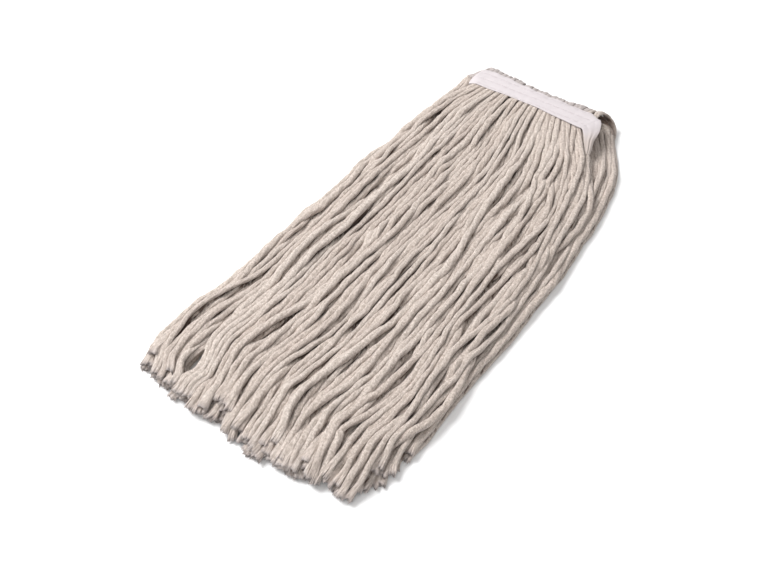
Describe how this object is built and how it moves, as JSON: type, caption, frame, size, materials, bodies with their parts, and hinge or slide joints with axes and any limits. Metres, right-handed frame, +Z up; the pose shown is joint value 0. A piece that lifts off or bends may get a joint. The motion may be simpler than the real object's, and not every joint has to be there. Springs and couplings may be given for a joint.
{
  "type": "string mop head",
  "caption": "Cut-end string mop head: cotton yarns sewn into a narrow headband, folded over and laid flat, with a front and a back skirt of loose yarn.",
  "frame": {"origin": "centre of the mop head's bounding box at floor level", "axes": "+X along the headband, +Y from the cut ends towards the fold, +Z up from the floor it lies on"},
  "size_m": [0.2594, 0.5352, 0.028],
  "materials": {
    "headband_tape": "white woven cotton tape, matte",
    "stitch_thread": "white sewing thread, slightly shiny",
    "cotton_yarn": "natural unbleached cotton yarn, matte and fuzzy"
  },
  "bodies": {
    "back_skirt": {"back_lock_01": "cotton_yarn", "back_lock_02": "cotton_yarn", "back_lock_03": "cotton_yarn", "back_lock_04": "cotton_yarn", "back_lock_05": "cotton_yarn", "back_lock_06": "cotton_yarn", "back_lock_07": "cotton_yarn", "back_lock_08": "cotton_yarn", "back_lock_09": "cotton_yarn", "back_lock_10": "cotton_yarn", "back_lock_11": "cotton_yarn", "back_lock_12": "cotton_yarn"},
    "turn": {"turn_lock_01": "cotton_yarn", "turn_lock_02": "cotton_yarn", "turn_lock_03": "cotton_yarn", "turn_lock_04": "cotton_yarn", "turn_lock_05": "cotton_yarn", "turn_lock_06": "cotton_yarn", "turn_lock_07": "cotton_yarn", "turn_lock_08": "cotton_yarn", "turn_lock_09": "cotton_yarn", "turn_lock_10": "cotton_yarn", "turn_lock_11": "cotton_yarn", "turn_lock_12": "cotton_yarn"},
    "headband": {"face_tape": "headband_tape", "back_tape": "headband_tape", "end_flap_left": "headband_tape", "end_flap_right": "headband_tape", "sewn_lock_01": "cotton_yarn", "sewn_lock_02": "cotton_yarn", "sewn_lock_03": "cotton_yarn", "sewn_lock_04": "cotton_yarn", "sewn_lock_05": "cotton_yarn", "sewn_lock_06": "cotton_yarn", "sewn_lock_07": "cotton_yarn", "sewn_lock_08": "cotton_yarn", "sewn_lock_09": "cotton_yarn", "sewn_lock_10": "cotton_yarn", "sewn_lock_11": "cotton_yarn", "sewn_lock_12": "cotton_yarn", "needle_thread_01": "stitch_thread", "needle_thread_02": "stitch_thread", "needle_thread_03": "stitch_thread", "bobbin_thread_01": "stitch_thread", "bobbin_thread_02": "stitch_thread", "bobbin_thread_03": "stitch_thread"},
    "front_skirt": {"front_lock_01": "cotton_yarn", "front_lock_02": "cotton_yarn", "front_lock_03": "cotton_yarn", "front_lock_04": "cotton_yarn", "front_lock_05": "cotton_yarn", "front_lock_06": "cotton_yarn", "front_lock_07": "cotton_yarn", "front_lock_08": "cotton_yarn", "front_lock_09": "cotton_yarn", "front_lock_10": "cotton_yarn", "front_lock_11": "cotton_yarn", "front_lock_12": "cotton_yarn"}
  },
  "joints": [
    {"name": "fold_lower", "type": "hinge", "parent": "back_skirt", "child": "turn", "pos_m": [-0.00787, 0.26083, 0.0069], "axis": [-1, 0, 0], "range_deg": [0, 90]},
    {"name": "fold_upper", "type": "hinge", "parent": "turn", "child": "headband", "pos_m": [-0.00787, 0.26083, 0.0208], "axis": [-1, 0, 0], "range_deg": [0, 90]},
    {"name": "front_lift", "type": "hinge", "parent": "headband", "child": "front_skirt", "pos_m": [-0.00787, 0.22183, 0.0208], "axis": [-1, 0, 0], "range_deg": [0, 90]}
  ],
  "couplings": [
    {"joint": "fold_upper", "follows": "fold_lower", "ratio": 1}
  ]
}
